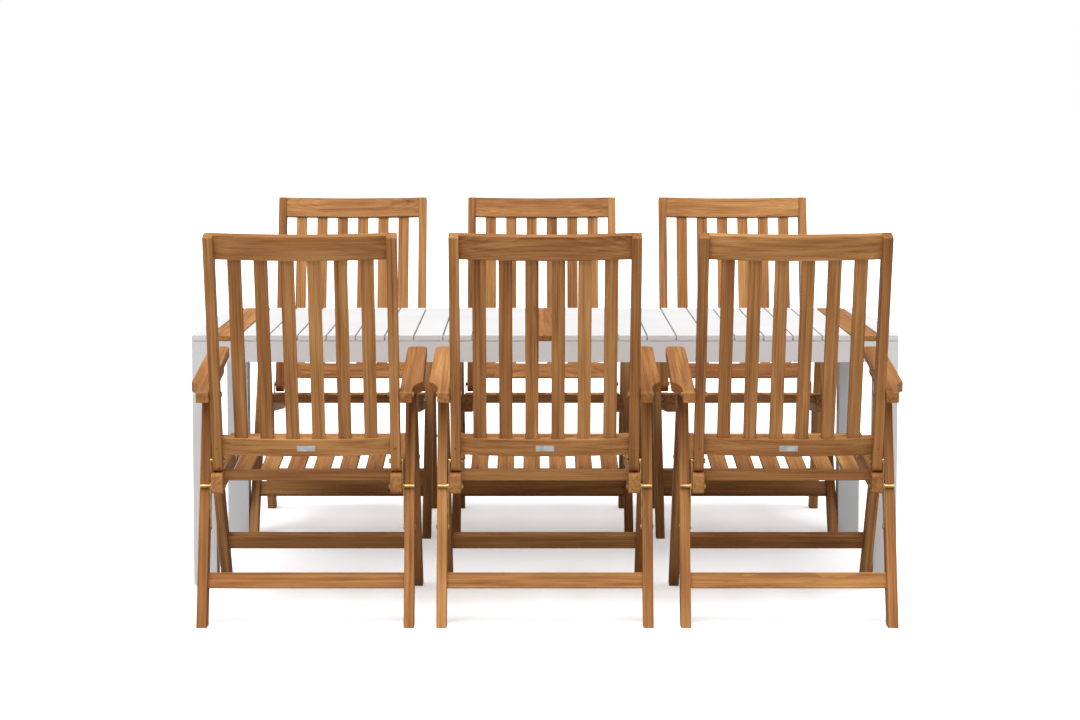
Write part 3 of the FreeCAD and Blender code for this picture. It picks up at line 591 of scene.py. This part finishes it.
class PATIO_OT_table_top(bpy.types.Operator):
    """White slats and borders of the top, and the three teak slats"""
    bl_idname = "patio.table_top"
    bl_label = "Table Top"

    def execute(self, context):
        materials()
        top = context.scene.patio_top
        low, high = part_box("table_white_slats")
        thick = high.z - low.z
        source = merged("table_white_slats")
        places = {}
        for verts in boards(source):
            if span(verts, UP) > thick - 1e-4:
                places.setdefault(round(span(verts, ACROSS), 4), []).append(middle(verts))
        source.free()
        meshes = [grown(bar_tree(), centres, {
            "Width": width, "Thickness": thick, "Length": high.y - low.y,
            "Round": top.edge_round, "Steps": top.round_steps,
            "Material": bpy.data.materials["White Coat"]}) for width, centres in places.items()]
        piece = to_object(joined(meshes), "table_top_bars", bpy.data.materials["White Coat"],
                          math.radians(50))
        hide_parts("table_white_slats")
        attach(piece, "table")
        wooden("table_teak_slats", "table")
        return {"FINISHED"}


class PATIO_OT_table_frame(bpy.types.Operator):
    """Coated legs and aprons, feet and screws of the table"""
    bl_idname = "patio.table_frame"
    bl_label = "Table Frame"

    def execute(self, context):
        materials()
        for node, name in (("table_legs", "White Coat"), ("table_frame", "White Coat"),
                           ("table_feet", "Black Plastic"), ("table_screws", "Steel")):
            repaint(node, name)
        return {"FINISHED"}


class PATIO_OT_chair_wood(bpy.types.Operator):
    """Teak boards of the six chairs"""
    bl_idname = "patio.chair_wood"
    bl_label = "Chair Wood"

    def execute(self, context):
        materials()
        for chair in CHAIRS:
            for part, body in WOOD_PARTS.items():
                wooden("chair%d_%s" % (chair, part), "chair%d_%s" % (chair, body))
        return {"FINISHED"}


class PATIO_OT_chair_brass(bpy.types.Operator):
    """Brass of the chairs: bolts, straps, hinge plates and the straps' lower bolt heads"""
    bl_idname = "patio.chair_brass"
    bl_label = "Chair Brass"

    def execute(self, context):
        materials()
        fit_settings = context.scene.patio_fittings
        for chair in CHAIRS:
            for part in BRASS_PARTS:
                repaint("chair%d_%s" % (chair, part), "Brass")
            low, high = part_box("chair%d_fold_links" % chair)
            half_wide = (high.y - low.y) / 2
            legs_low, legs_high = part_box("chair%d_rear_legs" % chair)
            points = [Vector((x, (low.y + high.y) / 2, low.z + half_wide))
                      for x in (legs_low.x, legs_high.x)]
            domes = grown(dome_tree(), points, {
                "Radius": fit_settings.head_radius, "Rise": fit_settings.head_rise,
                "Turn": (0.0, math.pi / 2, 0.0), "Material": bpy.data.materials["Brass"]})
            small_piece(joined([domes]), "chair%d_strap_bolt_heads" % chair, "Brass",
                        "chair%d_rear_frame" % chair)
        return {"FINISHED"}


def plate_mesh(sizes, place):
    """Thin plate with rounded corners and an eased front rim, put in its place."""
    long, high, thick = sizes.plate_size
    bm = bmesh.new()
    bmesh.ops.create_cube(bm, size=1.0)
    bmesh.ops.scale(bm, vec=(long, high, thick), verts=bm.verts)
    corner = [e for e in bm.edges if abs((e.verts[0].co - e.verts[1].co).normalized().z) > 0.9]
    bmesh.ops.bevel(bm, geom=corner, offset=sizes.plate_corner, segments=4, profile=0.5,
                    affect="EDGES")
    rim = [e for e in bm.edges if all(v.co.z > 0 for v in e.verts)]
    bmesh.ops.bevel(bm, geom=rim, offset=thick * 0.3, segments=2, profile=0.5, affect="EDGES")
    bmesh.ops.transform(bm, matrix=place, verts=bm.verts)
    mesh = bpy.data.meshes.new("plate")
    bm.to_mesh(mesh)
    bm.free()
    return mesh


class PATIO_OT_chair_fittings(bpy.types.Operator):
    """Wood plugs in the stiles and the blank plate on each lower back rail"""
    bl_idname = "patio.chair_fittings"
    bl_label = "Chair Fittings"

    def execute(self, context):
        materials()
        sizes = context.scene.patio_fittings
        long, _, thick = sizes.plate_size
        for chair in CHAIRS:
            up, rear, spots, plate = back_geometry(chair)
            across = up.cross(rear)
            turn = Matrix((across, up, rear)).transposed().to_euler()
            plugs = joined([grown(dome_tree(), spots, {
                "Radius": sizes.plug_radius, "Rise": sizes.plug_rise, "Turn": tuple(turn),
                "Material": bpy.data.materials["Teak"]})])
            mark_grain(plugs, "chair%d_plugs" % chair)
            tone = plugs.verts.layers.float["board"]
            for vert in plugs.verts:
                vert[tone] = PLUG_TONE
            small_piece(plugs, "chair%d_stile_plugs" % chair, "Teak",
                        "chair%d_back_frame" % chair)
            seat = Matrix((across, up, rear)).transposed().to_4x4()
            seat.translation = plate + rear * thick * 0.5
            body = plate_mesh(sizes, seat)
            reach = across * (long / 2 - sizes.rivet_inset)
            ends = [plate + reach * side + rear * thick for side in (-1, 1)]
            rivets = grown(dome_tree(), ends, {
                "Radius": sizes.rivet_radius, "Rise": sizes.rivet_radius * 0.5,
                "Turn": tuple(turn), "Material": bpy.data.materials["Steel"]})
            small_piece(joined([body, rivets]), "chair%d_blank_plate" % chair, "Steel",
                        "chair%d_back_frame" % chair)
        return {"FINISHED"}


# ---------------------------------------------------------------- stage
def high_light(stage):
    """Broad soft light from high in front, a little to the left."""
    data = bpy.data.lights.new("high_light", "SUN")
    data.energy = stage.key
    data.angle = stage.key_spread
    obj = bpy.data.objects.new("high_light", data)
    obj.rotation_euler = (math.pi / 2 - stage.key_height, 0, math.radians(-14))
    bpy.context.scene.collection.objects.link(obj)


def pale_floor(stage):
    """Plain pale paint that looks white and throws back only part of the light."""
    paint = bpy.data.materials.new("Pale Floor")
    paint.use_nodes = True
    tree = paint.node_tree
    shader = tree.nodes["Principled BSDF"]
    seen = tree.nodes.new("ShaderNodeLightPath").outputs["Is Camera Ray"]
    bounce = stage.floor_bounce
    colour = mixed(tree, seen, (bounce, bounce, bounce, 1), (1, 1, 1, 1))
    tree.links.new(colour, shader.inputs["Base Color"])
    shader.inputs["Roughness"].default_value = 0.9
    shader.inputs["Specular IOR Level"].default_value = 0.1
    shader.inputs["Emission Color"].default_value = (1, 1, 1, 1)
    tree.links.new(math_node(tree, "MULTIPLY", seen, stage.floor_lift),
                   shader.inputs["Emission Strength"])
    return paint


def even_light(stage):
    """White surroundings: bright to look at, weaker as a light."""
    world = bpy.data.worlds.new("Studio")
    world.use_nodes = True
    tree = world.node_tree
    seen = tree.nodes.new("ShaderNodeLightPath").outputs["Is Camera Ray"]
    strength = fit(tree, seen, 0.0, 1.0, stage.sky, 1.0)
    back = tree.nodes["Background"]
    back.inputs["Color"].default_value = (1, 1, 1, 1)
    tree.links.new(strength, back.inputs["Strength"])
    bpy.context.scene.world = world


class PATIO_OT_stage(bpy.types.Operator):
    """Pale floor, soft light and camera"""
    bl_idname = "patio.stage"
    bl_label = "Stage"

    def execute(self, context):
        stage = context.scene.patio_stage
        mesh = bpy.data.meshes.new("floor")
        mesh.from_pydata([(-40, -30, 0), (40, -30, 0), (40, 60, 0), (-40, 60, 0)], [],
                         [(0, 1, 2, 3)])
        floor = bpy.data.objects.new("floor", mesh)
        paint = pale_floor(stage)
        mesh.materials.append(paint)
        context.scene.collection.objects.link(floor)
        even_light(stage)
        high_light(stage)
        context.scene.view_settings.view_transform = "Standard"
        data = bpy.data.cameras.new("camera")
        data.sensor_width = 36
        data.lens = stage.lens
        data.shift_x, data.shift_y = stage.shift
        camera = bpy.data.objects.new("camera", data)
        camera.location = stage.eye
        camera.rotation_euler = (math.pi / 2 - stage.pitch, 0, 0)
        context.scene.collection.objects.link(camera)
        context.scene.camera = camera
        return {"FINISHED"}


# ---------------------------------------------------------------- add-on
OPERATORS = (PATIO_OT_table_top, PATIO_OT_table_frame, PATIO_OT_chair_wood, PATIO_OT_chair_brass,
             PATIO_OT_chair_fittings, PATIO_OT_stage)
SETTINGS = {"patio_wood": WoodSettings, "patio_top": TopSettings,
            "patio_fittings": FittingSettings, "patio_stage": StageSettings}


class PATIO_PT_panel(bpy.types.Panel):
    """Sidebar panel of the patio set"""
    bl_idname = "PATIO_PT_panel"
    bl_label = "Patio Set"
    bl_space_type = "VIEW_3D"
    bl_region_type = "UI"
    bl_category = "Patio Set"

    def draw(self, context):
        for name, kind in SETTINGS.items():
            column = self.layout.column()
            for key in kind.__annotations__:
                column.prop(getattr(context.scene, name), key)
        for operator in OPERATORS:
            self.layout.operator(operator.bl_idname)


def register():
    for kind in (*SETTINGS.values(), *OPERATORS, PATIO_PT_panel):
        bpy.utils.register_class(kind)
    for name, kind in SETTINGS.items():
        setattr(bpy.types.Scene, name, bpy.props.PointerProperty(type=kind))


def unregister():
    for name in SETTINGS:
        delattr(bpy.types.Scene, name)
    for kind in reversed((*SETTINGS.values(), *OPERATORS, PATIO_PT_panel)):
        bpy.utils.unregister_class(kind)


def main():
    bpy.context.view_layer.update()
    register()
    bpy.ops.patio.table_top()
    bpy.ops.patio.table_frame()
    bpy.ops.patio.chair_wood()
    bpy.ops.patio.chair_brass()
    bpy.ops.patio.chair_fittings()
    bpy.ops.patio.stage()


if __name__ == "__main__":
    main()
